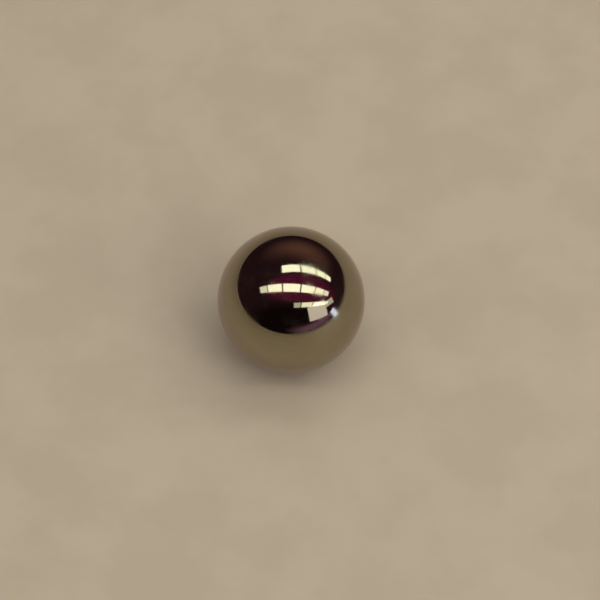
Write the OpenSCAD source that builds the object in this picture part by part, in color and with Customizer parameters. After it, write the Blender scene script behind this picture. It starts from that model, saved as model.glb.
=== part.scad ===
// Solid steel ball, ground and lapped to one true sphere.
// It is one piece, and its centre is the origin of the model.

/* [Ball] */
// Diameter of the ball
ball_d = 10; // [3:0.5:30]

/* [Hidden] */

// Flats that stand for the full circle where the curve is drawn as a mesh
round_fn = 180;

// A ball has no end, flat or seam, so the diameter is its only size.
module ball() {
    color("gray")
        sphere(d = ball_d, $fn = round_fn);
}

ball();
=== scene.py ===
from math import atan2, cos, pi, radians, sin

import bpy
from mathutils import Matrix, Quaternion, Vector


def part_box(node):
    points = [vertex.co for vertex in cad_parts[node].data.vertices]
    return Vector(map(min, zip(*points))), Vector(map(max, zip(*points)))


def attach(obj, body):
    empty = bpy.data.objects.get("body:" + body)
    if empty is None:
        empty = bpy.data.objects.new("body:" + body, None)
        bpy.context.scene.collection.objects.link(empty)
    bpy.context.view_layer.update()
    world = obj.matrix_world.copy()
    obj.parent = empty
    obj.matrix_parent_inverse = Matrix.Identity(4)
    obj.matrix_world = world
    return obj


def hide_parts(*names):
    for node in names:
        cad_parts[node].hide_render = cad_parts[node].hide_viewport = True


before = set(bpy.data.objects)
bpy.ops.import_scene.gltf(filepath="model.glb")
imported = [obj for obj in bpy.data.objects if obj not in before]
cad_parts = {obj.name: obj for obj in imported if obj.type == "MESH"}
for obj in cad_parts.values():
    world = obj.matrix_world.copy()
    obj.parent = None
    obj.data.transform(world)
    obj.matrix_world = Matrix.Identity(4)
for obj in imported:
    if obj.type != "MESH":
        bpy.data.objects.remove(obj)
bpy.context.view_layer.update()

# Metres all through, in the frame of the solid ball: its centre is the origin and Z is up.
ballLow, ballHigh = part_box("ball")
ballRadius = ballHigh.z
floorHeight = ballLow.z


def addNode(tree, kind, inputs=None, **settings):
    node = tree.nodes.new(kind)
    for name, value in settings.items():
        setattr(node, name, value)
    for name, value in (inputs or {}).items():
        node.inputs[name].default_value = value
    return node


def addSocket(tree, direction, kind, name, value=None):
    socket = tree.interface.new_socket(name=name, in_out=direction, socket_type=kind)
    if value is not None:
        socket.default_value = value


def addToScene(thing):
    bpy.context.scene.collection.objects.link(thing)
    return thing


# Camera: well back with a long lens, looking down on the ball.
cameraSettings = {
    "elevation": 57.0,      # degrees above the floor
    "distance": 0.285,      # from the middle of the ball
    "frameWidth": 0.0407,   # how much the picture spans at the ball
    "aimRight": 0.0006,     # the picture's middle lies this far to the right of the ball
    "nearest": 0.01,
    "farthest": 100.0,
}


def addCamera():
    tilt = radians(cameraSettings["elevation"])
    distance = cameraSettings["distance"]
    lens = bpy.data.cameras.new("benchCamera")
    lens.lens = lens.sensor_width * distance / cameraSettings["frameWidth"]
    lens.clip_start = cameraSettings["nearest"]
    lens.clip_end = cameraSettings["farthest"]
    camera = addToScene(bpy.data.objects.new("benchCamera", lens))
    camera.location = (cameraSettings["aimRight"], -distance * cos(tilt), distance * sin(tilt))
    camera.rotation_euler = (pi / 2 - tilt, 0, 0)
    bpy.context.scene.camera = camera


addCamera()
print("camera placed")


def makeSoftMottle():
    # cloudy patches from 0 to 1: Low and High are the noise levels where a patch begins and is full
    tree = bpy.data.node_groups.new("softMottle", "ShaderNodeTree")
    addSocket(tree, "INPUT", "NodeSocketVector", "Vector")
    addSocket(tree, "INPUT", "NodeSocketFloat", "Scale", 500.0)
    addSocket(tree, "INPUT", "NodeSocketFloat", "Detail", 3.0)
    addSocket(tree, "INPUT", "NodeSocketFloat", "Low", 0.35)
    addSocket(tree, "INPUT", "NodeSocketFloat", "High", 0.65)
    addSocket(tree, "OUTPUT", "NodeSocketFloat", "Patches")
    groupIn = addNode(tree, "NodeGroupInput")
    groupOut = addNode(tree, "NodeGroupOutput")
    noise = addNode(tree, "ShaderNodeTexNoise", {"Roughness": 0.55})
    spread = addNode(tree, "ShaderNodeMapRange", interpolation_type="SMOOTHSTEP")
    link = tree.links.new
    link(groupIn.outputs["Vector"], noise.inputs["Vector"])
    link(groupIn.outputs["Scale"], noise.inputs["Scale"])
    link(groupIn.outputs["Detail"], noise.inputs["Detail"])
    link(noise.outputs["Fac"], spread.inputs["Value"])
    link(groupIn.outputs["Low"], spread.inputs["From Min"])
    link(groupIn.outputs["High"], spread.inputs["From Max"])
    link(spread.outputs["Result"], groupOut.inputs["Patches"])
    return tree


def makeHairScratches():
    # thin lines along one direction: the contour lines of a noise that is drawn out that way
    tree = bpy.data.node_groups.new("hairScratches", "ShaderNodeTree")
    addSocket(tree, "INPUT", "NodeSocketVector", "Vector")
    addSocket(tree, "INPUT", "NodeSocketVector", "Turn", (0.0, 0.0, 0.0))
    addSocket(tree, "INPUT", "NodeSocketVector", "Stretch", (150.0, 3000.0, 3000.0))
    addSocket(tree, "INPUT", "NodeSocketFloat", "Width", 0.012)
    addSocket(tree, "OUTPUT", "NodeSocketFloat", "Lines")
    groupIn = addNode(tree, "NodeGroupInput")
    groupOut = addNode(tree, "NodeGroupOutput")
    place = addNode(tree, "ShaderNodeMapping")
    noise = addNode(tree, "ShaderNodeTexNoise", {"Scale": 1.0, "Detail": 0.0})
    offMiddle = addNode(tree, "ShaderNodeMath", {1: 0.5}, operation="SUBTRACT")
    distance = addNode(tree, "ShaderNodeMath", operation="ABSOLUTE")
    line = addNode(tree, "ShaderNodeMapRange", {"From Min": 0.0, "To Min": 1.0, "To Max": 0.0})
    link = tree.links.new
    link(groupIn.outputs["Vector"], place.inputs["Vector"])
    link(groupIn.outputs["Turn"], place.inputs["Rotation"])
    link(groupIn.outputs["Stretch"], place.inputs["Scale"])
    link(place.outputs["Vector"], noise.inputs["Vector"])
    link(noise.outputs["Fac"], offMiddle.inputs[0])
    link(offMiddle.outputs["Value"], distance.inputs[0])
    link(distance.outputs["Value"], line.inputs["Value"])
    link(groupIn.outputs["Width"], line.inputs["From Max"])
    link(line.outputs["Result"], groupOut.inputs["Lines"])
    return tree


softMottle = makeSoftMottle()
hairScratches = makeHairScratches()


def addGroup(tree, group, vector, inputs):
    node = addNode(tree, "ShaderNodeGroup", node_tree=group)
    for name, value in inputs.items():
        node.inputs[name].default_value = value
    tree.links.new(vector, node.inputs["Vector"])
    return node.outputs[0]


def addMath(tree, operation, *values):
    # each value is a number or the output that feeds it
    node = addNode(tree, "ShaderNodeMath", operation=operation)
    for socket, value in zip(node.inputs, values):
        if isinstance(value, bpy.types.NodeSocket):
            tree.links.new(value, socket)
        else:
            socket.default_value = value
    return node.outputs["Value"]


def addSightRays(tree):
    # 1 for the rays that show a thing, straight, in a mirror or through glass, and 0 for the rest
    rays = addNode(tree, "ShaderNodeLightPath").outputs
    straightOrMirrored = addMath(tree, "MAXIMUM", rays["Is Camera Ray"], rays["Is Glossy Ray"])
    return addMath(tree, "MAXIMUM", straightOrMirrored, rays["Is Transmission Ray"])


def addRamp(tree, value, firstColour, lastColour):
    ramp = addNode(tree, "ShaderNodeValToRGB")
    ramp.color_ramp.elements[0].color = firstColour
    ramp.color_ramp.elements[1].color = lastColour
    tree.links.new(value, ramp.inputs["Fac"])
    return ramp.outputs["Color"]


# Steel ball
ballSettings = {
    "edgeSteps": 80,                        # faces along each edge of the cube that becomes the ball
    "steelColour": (0.346, 0.31, 0.228, 1),
    "oiledColour": (0.339, 0.299, 0.21, 1),  # where a trace of oil is left on the steel
    "oiledPatch": 0.0035,
    "edgeTint": (0.97, 0.92, 0.97, 1),      # of what is mirrored at a low angle, round the ball's outline
    "polish": 0.05,                         # roughness of the clean mirror
    "haze": 0.09,                           # what faint handling haze adds to it
    "hazePatch": 0.0018,
    "hazeStart": 0.45,                      # the noise level where a patch of haze begins
    "scratchDulling": 0.12,                 # what a hair scratch adds to the roughness
    "scratchDepth": 0.00000012,
    "scratchPatch": 0.0025,
    "scratchTurns": ((0.3, 0.2, 0.1), (1.1, 0.5, 2.0), (2.3, 1.9, 0.7)),
    "tileMargin": 0.02,                     # clear edge of each tile of the ball's map, as a share of it
}


def makePolishedSteel():
    material = bpy.data.materials.new("polishedSteel")
    material.use_nodes = True
    tree = material.node_tree
    link = tree.links.new
    steel = tree.nodes["Principled BSDF"]
    steel.inputs["Metallic"].default_value = 1.0
    steel.inputs["Specular Tint"].default_value = ballSettings["edgeTint"]
    where = addNode(tree, "ShaderNodeTexCoord").outputs["Object"]

    oiled = addGroup(tree, softMottle, where, {"Scale": 1 / ballSettings["oiledPatch"]})
    colour = addRamp(tree, oiled, ballSettings["steelColour"], ballSettings["oiledColour"])
    link(colour, steel.inputs["Base Color"])

    scratched = addGroup(tree, softMottle, where, {"Scale": 1 / ballSettings["scratchPatch"]})
    scratches = None
    for turn in ballSettings["scratchTurns"]:
        lines = addGroup(tree, hairScratches, where, {"Turn": turn})
        scratches = lines if scratches is None else addMath(tree, "MAXIMUM", scratches, lines)
    scratches = addMath(tree, "MULTIPLY", scratches, scratched)

    hazeLook = {"Scale": 1 / ballSettings["hazePatch"], "Low": ballSettings["hazeStart"]}
    haze = addGroup(tree, softMottle, where, hazeLook)
    roughness = addMath(tree, "MULTIPLY_ADD", haze, ballSettings["haze"], ballSettings["polish"])
    roughness = addMath(tree, "MULTIPLY_ADD", scratches, ballSettings["scratchDulling"], roughness)
    link(roughness, steel.inputs["Roughness"])

    bump = addNode(tree, "ShaderNodeBump", {"Distance": ballSettings["scratchDepth"]}, invert=True)
    link(scratches, bump.inputs["Height"])
    link(bump.outputs["Normal"], steel.inputs["Normal"])
    return material


def makeLappedBall():
    # a cube of small squares, evened out with tangents and pulled in to the radius all round
    tree = bpy.data.node_groups.new("lappedBall", "GeometryNodeTree")
    addSocket(tree, "INPUT", "NodeSocketGeometry", "Geometry")
    addSocket(tree, "INPUT", "NodeSocketFloat", "Radius", 0.005)
    addSocket(tree, "INPUT", "NodeSocketInt", "Edge Steps", 16)
    addSocket(tree, "INPUT", "NodeSocketMaterial", "Steel")
    addSocket(tree, "OUTPUT", "NodeSocketGeometry", "Geometry")
    groupIn = addNode(tree, "NodeGroupInput")
    groupOut = addNode(tree, "NodeGroupOutput")
    cube = addNode(tree, "GeometryNodeMeshCube", {"Size": (2.0, 2.0, 2.0)})
    edgePoints = addNode(tree, "ShaderNodeMath", {1: 1.0}, operation="ADD")
    place = addNode(tree, "GeometryNodeInputPosition")
    angles = addNode(tree, "ShaderNodeVectorMath", {"Scale": pi / 4}, operation="SCALE")
    evened = addNode(tree, "ShaderNodeVectorMath", operation="TANGENT")
    outward = addNode(tree, "ShaderNodeVectorMath", operation="NORMALIZE")
    onBall = addNode(tree, "ShaderNodeVectorMath", operation="SCALE")
    pullIn = addNode(tree, "GeometryNodeSetPosition")
    smooth = addNode(tree, "GeometryNodeSetShadeSmooth")
    realize = addNode(tree, "GeometryNodeRealizeInstances")
    coat = addNode(tree, "GeometryNodeSetMaterial")
    link = tree.links.new
    link(groupIn.outputs["Edge Steps"], edgePoints.inputs[0])
    for axis in "XYZ":
        link(edgePoints.outputs["Value"], cube.inputs["Vertices " + axis])
    link(place.outputs["Position"], angles.inputs[0])
    link(angles.outputs["Vector"], evened.inputs[0])
    link(evened.outputs["Vector"], outward.inputs[0])
    link(outward.outputs["Vector"], onBall.inputs[0])
    link(groupIn.outputs["Radius"], onBall.inputs["Scale"])
    link(cube.outputs["Mesh"], pullIn.inputs["Geometry"])
    link(onBall.outputs["Vector"], pullIn.inputs["Position"])
    link(pullIn.outputs["Geometry"], smooth.inputs["Geometry"])
    link(smooth.outputs["Geometry"], realize.inputs["Geometry"])
    link(realize.outputs["Geometry"], coat.inputs["Geometry"])
    link(groupIn.outputs["Steel"], coat.inputs["Material"])
    link(coat.outputs["Geometry"], groupOut.inputs["Geometry"])
    return tree


def layMap(mesh):
    # six tiles, three across and two up: one for each side of the cube that became the ball
    tiles = mesh.uv_layers.new(name="OFBake")
    half = 0.5 - ballSettings["tileMargin"]
    for face in mesh.polygons:
        axis = max(range(3), key=lambda side: abs(face.center[side]))
        high = face.center[axis] > 0
        facing = 1 if high else -1
        for corner in face.loop_indices:
            place = mesh.vertices[mesh.loops[corner].vertex_index].co
            across = atan2(place[(axis + 1) % 3] * facing, abs(place[axis])) / (pi / 2)
            up = atan2(place[(axis + 2) % 3], abs(place[axis])) / (pi / 2)
            column = axis + 0.5 + 2 * half * across
            row = high + 0.5 + 2 * half * up
            tiles.uv[corner].vector = (column / 3, row / 2)


def makeSteelBall():
    tree = makeLappedBall()
    sizes = {"Radius": ballRadius, "Edge Steps": ballSettings["edgeSteps"], "Steel": makePolishedSteel()}
    blank = addToScene(bpy.data.objects.new("ballBlank", bpy.data.meshes.new("ballBlank")))
    modifier = blank.modifiers.new("lappedBall", "NODES")
    modifier.node_group = tree
    for socket in tree.interface.items_tree:
        if socket.name in sizes:
            modifier[socket.identifier] = sizes[socket.name]
    graph = bpy.context.evaluated_depsgraph_get()
    mesh = bpy.data.meshes.new_from_object(blank.evaluated_get(graph), depsgraph=graph)
    mesh.name = "steelBall"
    layMap(mesh)
    bpy.data.objects.remove(blank)
    return addToScene(bpy.data.objects.new("steelBall", mesh))


steelBall = makeSteelBall()
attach(steelBall, "root")
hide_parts("ball")
print("steel ball made of", len(steelBall.data.polygons), "faces")


# Floor: one plain sheet that fades, far from the ball, into the pale sweep of the world, which goes on past
# the horizon all round. It fades for the camera and the mirror alike, so the ball shows the set as it is.
floorSettings = {
    "reach": 4.0,                           # half of the sheet's side
    "colour": (0.45, 0.37, 0.265, 1),
    "blotchColour": (0.42, 0.345, 0.245, 1),
    "blotchSize": 0.006,
    "grainSize": 0.0004,
    "grainDepth": 0.000004,
    "roughness": 0.5,
    "specular": 0.15,
    "fadeFrom": 0.15,
    "fadeTo": 0.45,
}


def makePaleFloor():
    material = bpy.data.materials.new("paleFloor")
    material.use_nodes = True
    tree = material.node_tree
    link = tree.links.new
    sheet = tree.nodes["Principled BSDF"]
    out = tree.nodes["Material Output"]
    sheet.inputs["Roughness"].default_value = floorSettings["roughness"]
    sheet.inputs["Specular IOR Level"].default_value = floorSettings["specular"]
    where = addNode(tree, "ShaderNodeTexCoord").outputs["Object"]

    blotches = addGroup(tree, softMottle, where, {"Scale": 1 / floorSettings["blotchSize"]})
    colour = addRamp(tree, blotches, floorSettings["colour"], floorSettings["blotchColour"])
    link(colour, sheet.inputs["Base Color"])
    grain = addGroup(tree, softMottle, where, {"Scale": 1 / floorSettings["grainSize"]})
    bump = addNode(tree, "ShaderNodeBump", {"Distance": floorSettings["grainDepth"]})
    link(grain, bump.inputs["Height"])
    link(bump.outputs["Normal"], sheet.inputs["Normal"])

    away = addNode(tree, "ShaderNodeVectorMath", operation="LENGTH")
    fadeRange = {"From Min": floorSettings["fadeFrom"], "From Max": floorSettings["fadeTo"]}
    faded = addNode(tree, "ShaderNodeMapRange", fadeRange, interpolation_type="SMOOTHSTEP")
    link(where, away.inputs[0])
    link(away.outputs["Value"], faded.inputs["Value"])

    seenThrough = addMath(tree, "MULTIPLY", addSightRays(tree), faded.outputs["Result"])
    clear = addNode(tree, "ShaderNodeBsdfTransparent")
    mix = addNode(tree, "ShaderNodeMixShader")
    link(seenThrough, mix.inputs["Fac"])
    link(sheet.outputs["BSDF"], mix.inputs[1])
    link(clear.outputs["BSDF"], mix.inputs[2])
    link(mix.outputs["Shader"], out.inputs["Surface"])
    return material


def addFloor():
    reach = floorSettings["reach"]
    corners = [(x * reach, y * reach, floorHeight) for x, y in ((-1, -1), (1, -1), (1, 1), (-1, 1))]
    mesh = bpy.data.meshes.new("paleFloor")
    mesh.from_pydata(corners, [], [(0, 1, 2, 3)])
    mesh.materials.append(makePaleFloor())
    addToScene(bpy.data.objects.new("paleFloor", mesh))


addFloor()
print("floor laid")


# Lamps: three rows of strip lamps hang overhead, side by side. Brightness 1 is that of a white card in
# full light.
rowSettings = {
    "height": 0.30,
    "lampGap": 0.012,
    "lampWidth": 0.070,
    "colour": (0.92, 1.0, 0.87),
    "rows": (
        # name, left end, how far back, turn in degrees, length and brightness of each lamp
        ("rearRow", -0.071, 0.0905, 3.6, ((0.141, 3.0),) * 4),
        ("middleRow", -0.343, -0.0655, -1.8, ((0.113, 1.9),) + ((0.141, 3.0),) * 4 + ((0.141, 2.2),)),
        ("frontRow", 0.0305, -0.264, 1.35,
         ((0.072, 1.1), (0.141, 2.4), (0.141, 2.9), (0.141, 2.3), (0.07, 2.0))),
    ),
}

# Panels face the ball. Azimuth counts from the right towards the back; all angles are in degrees.
panelSettings = (
    {"name": "sideSoftbox", "azimuth": -40, "elevation": 50, "roll": 0, "distance": 0.40,
     "width": 0.20, "height": 0.20, "brightness": 1.3, "colour": (1.0, 1.0, 1.0), "mirrored": False},
    {"name": "windowPanel", "azimuth": -21, "elevation": 0.5, "roll": 10.5, "distance": 1.5,
     "width": 0.186, "height": 0.56, "brightness": 3.4, "colour": (0.56, 0.66, 1.0), "mirrored": True},
    {"name": "wallPanel", "azimuth": -43, "elevation": 25.5, "roll": -14.5, "distance": 1.5,
     "width": 0.78, "height": 0.61, "brightness": 1.36, "colour": (1.0, 0.95, 0.95), "mirrored": True},
    {"name": "blindPanel", "azimuth": -18.9, "elevation": 21.8, "roll": -22.5, "distance": 1.5,
     "width": 0.39, "height": 0.20, "brightness": 1.04, "colour": (0.81, 1.0, 0.88), "mirrored": True},
)


def headOn(azimuth, elevation):
    # the unit vector that points out at these angles, given in degrees
    around, up = radians(azimuth), radians(elevation)
    return Vector((cos(around) * cos(up), sin(around) * cos(up), sin(up)))


def addPanel(name, place, size, brightness, colour):
    length, width = size
    lamp = bpy.data.lights.new(name, "AREA")
    lamp.shape = "RECTANGLE"
    lamp.size = length
    lamp.size_y = width
    lamp.energy = brightness * pi * length * width
    lamp.color = colour
    panel = addToScene(bpy.data.objects.new(name, lamp))
    panel.location = place
    return panel


def addLampRows():
    for name, leftEnd, back, turn, lamps in rowSettings["rows"]:
        start = 0.0
        for count, (length, brightness) in enumerate(lamps, 1):
            along = start + length / 2
            place = (leftEnd + along * cos(radians(turn)), back + along * sin(radians(turn)),
                     rowSettings["height"])
            lamp = addPanel(name + str(count), place, (length, rowSettings["lampWidth"]), brightness,
                            rowSettings["colour"])
            lamp.rotation_euler = (0, 0, radians(turn))
            start += length + rowSettings["lampGap"]


def addPanels():
    for panel in panelSettings:
        direction = headOn(panel["azimuth"], panel["elevation"])
        size = (panel["width"], panel["height"])
        lamp = addPanel(panel["name"], direction * panel["distance"], size, panel["brightness"],
                        panel["colour"])
        facing = direction.to_track_quat("Z", "Y") @ Quaternion((0, 0, 1), radians(panel["roll"]))
        lamp.rotation_euler = facing.to_euler()
        lamp.visible_glossy = panel["mirrored"]


addLampRows()
addPanels()
print("lamps hung")


# World: an even fill for the light, and the set for what is seen, straight or in the ball. The set is a dim
# room with a pale sweep below, which ends about two degrees above the horizon all round. Each glow is soft,
# full out to one distance from its middle on the unit sphere and gone at the other.
worldSettings = {
    "fill": (0.485, 0.443, 0.505, 1),
    "room": (0.031, 0.012, 0.018, 1),
    "glows": (
        # painted shade: the near side of the room, towards the camera, drawn darker than the rest
        {"name": "nearSideShade", "azimuth": -81.6, "elevation": 4.4, "squash": (1.0, 1.0, 1.64), "full": 1.0,
         "gone": 1.4, "colour": (0.008, 0.003, 0.004, 1)},
        {"name": "farWall", "azimuth": 75.5, "elevation": 32.5, "squash": (1.0, 1.0, 2.2), "full": 0.0,
         "gone": 0.955, "colour": (0.199, 0.092, 0.076, 1)},
        # painted light: the ceiling round the lamp rows drawn brighter, as if lit by them; it lights nothing
        # itself
        {"name": "paintedCeilingLight", "azimuth": -36, "elevation": 69.3, "squash": (1.0, 2.5, 1.0), "full": 0.73,
         "gone": 1.13, "colour": (0.146, 0.013, 0.057, 1)},
        {"name": "windowSpill", "azimuth": -53.7, "elevation": 8.2, "squash": (1.0, 1.0, 6.0), "full": 0.235,
         "gone": 0.835, "colour": (0.256, 0.12, 0.24, 1)},
        {"name": "paleSweep", "azimuth": 0, "elevation": -90, "squash": (0.0, 0.0, 1.0), "full": 1.02,
         "gone": 1.05, "colour": (0.34, 0.276, 0.205, 1)},
    ),
}


def makeRoomGlow():
    # how much of a glow there is in a direction, from 0 to 1
    tree = bpy.data.node_groups.new("roomGlow", "ShaderNodeTree")
    addSocket(tree, "INPUT", "NodeSocketVector", "Vector")
    addSocket(tree, "INPUT", "NodeSocketVector", "Middle", (0.0, 1.0, 0.0))
    addSocket(tree, "INPUT", "NodeSocketVector", "Squash", (1.0, 1.0, 1.0))
    addSocket(tree, "INPUT", "NodeSocketFloat", "Full", 0.0)
    addSocket(tree, "INPUT", "NodeSocketFloat", "Gone", 1.0)
    addSocket(tree, "OUTPUT", "NodeSocketFloat", "Share")
    groupIn = addNode(tree, "NodeGroupInput")
    groupOut = addNode(tree, "NodeGroupOutput")
    offset = addNode(tree, "ShaderNodeVectorMath", operation="SUBTRACT")
    squashed = addNode(tree, "ShaderNodeVectorMath", operation="MULTIPLY")
    away = addNode(tree, "ShaderNodeVectorMath", operation="LENGTH")
    share = addNode(tree, "ShaderNodeMapRange", {"To Min": 1.0, "To Max": 0.0},
                    interpolation_type="SMOOTHSTEP")
    link = tree.links.new
    link(groupIn.outputs["Vector"], offset.inputs[0])
    link(groupIn.outputs["Middle"], offset.inputs[1])
    link(offset.outputs["Vector"], squashed.inputs[0])
    link(groupIn.outputs["Squash"], squashed.inputs[1])
    link(squashed.outputs["Vector"], away.inputs[0])
    link(away.outputs["Value"], share.inputs["Value"])
    link(groupIn.outputs["Full"], share.inputs["From Min"])
    link(groupIn.outputs["Gone"], share.inputs["From Max"])
    link(share.outputs["Result"], groupOut.inputs["Share"])
    return tree


def makeStudioWorld():
    world = bpy.data.worlds.new("studioWorld")
    world.use_nodes = True
    tree = world.node_tree
    link = tree.links.new
    fill = tree.nodes["Background"]
    fill.inputs["Color"].default_value = worldSettings["fill"]
    room = addNode(tree, "ShaderNodeBackground", {"Color": worldSettings["room"]})
    direction = addNode(tree, "ShaderNodeTexCoord").outputs["Generated"]
    roomGlow = makeRoomGlow()
    lit = room.outputs["Background"]
    for glow in worldSettings["glows"]:
        place = {"Middle": headOn(glow["azimuth"], glow["elevation"]), "Squash": glow["squash"],
                 "Full": glow["full"], "Gone": glow["gone"]}
        shade = addNode(tree, "ShaderNodeBackground", {"Color": glow["colour"]}, name=glow["name"])
        mix = addNode(tree, "ShaderNodeMixShader")
        link(addGroup(tree, roomGlow, direction, place), mix.inputs["Fac"])
        link(lit, mix.inputs[1])
        link(shade.outputs["Background"], mix.inputs[2])
        lit = mix.outputs["Shader"]
    seen = addNode(tree, "ShaderNodeMixShader")
    link(addSightRays(tree), seen.inputs["Fac"])
    link(fill.outputs["Background"], seen.inputs[1])
    link(lit, seen.inputs[2])
    link(seen.outputs["Shader"], tree.nodes["World Output"].inputs["Surface"])
    bpy.context.scene.world = world


makeStudioWorld()
bpy.context.scene.view_settings.view_transform = "Standard"
print("world set")
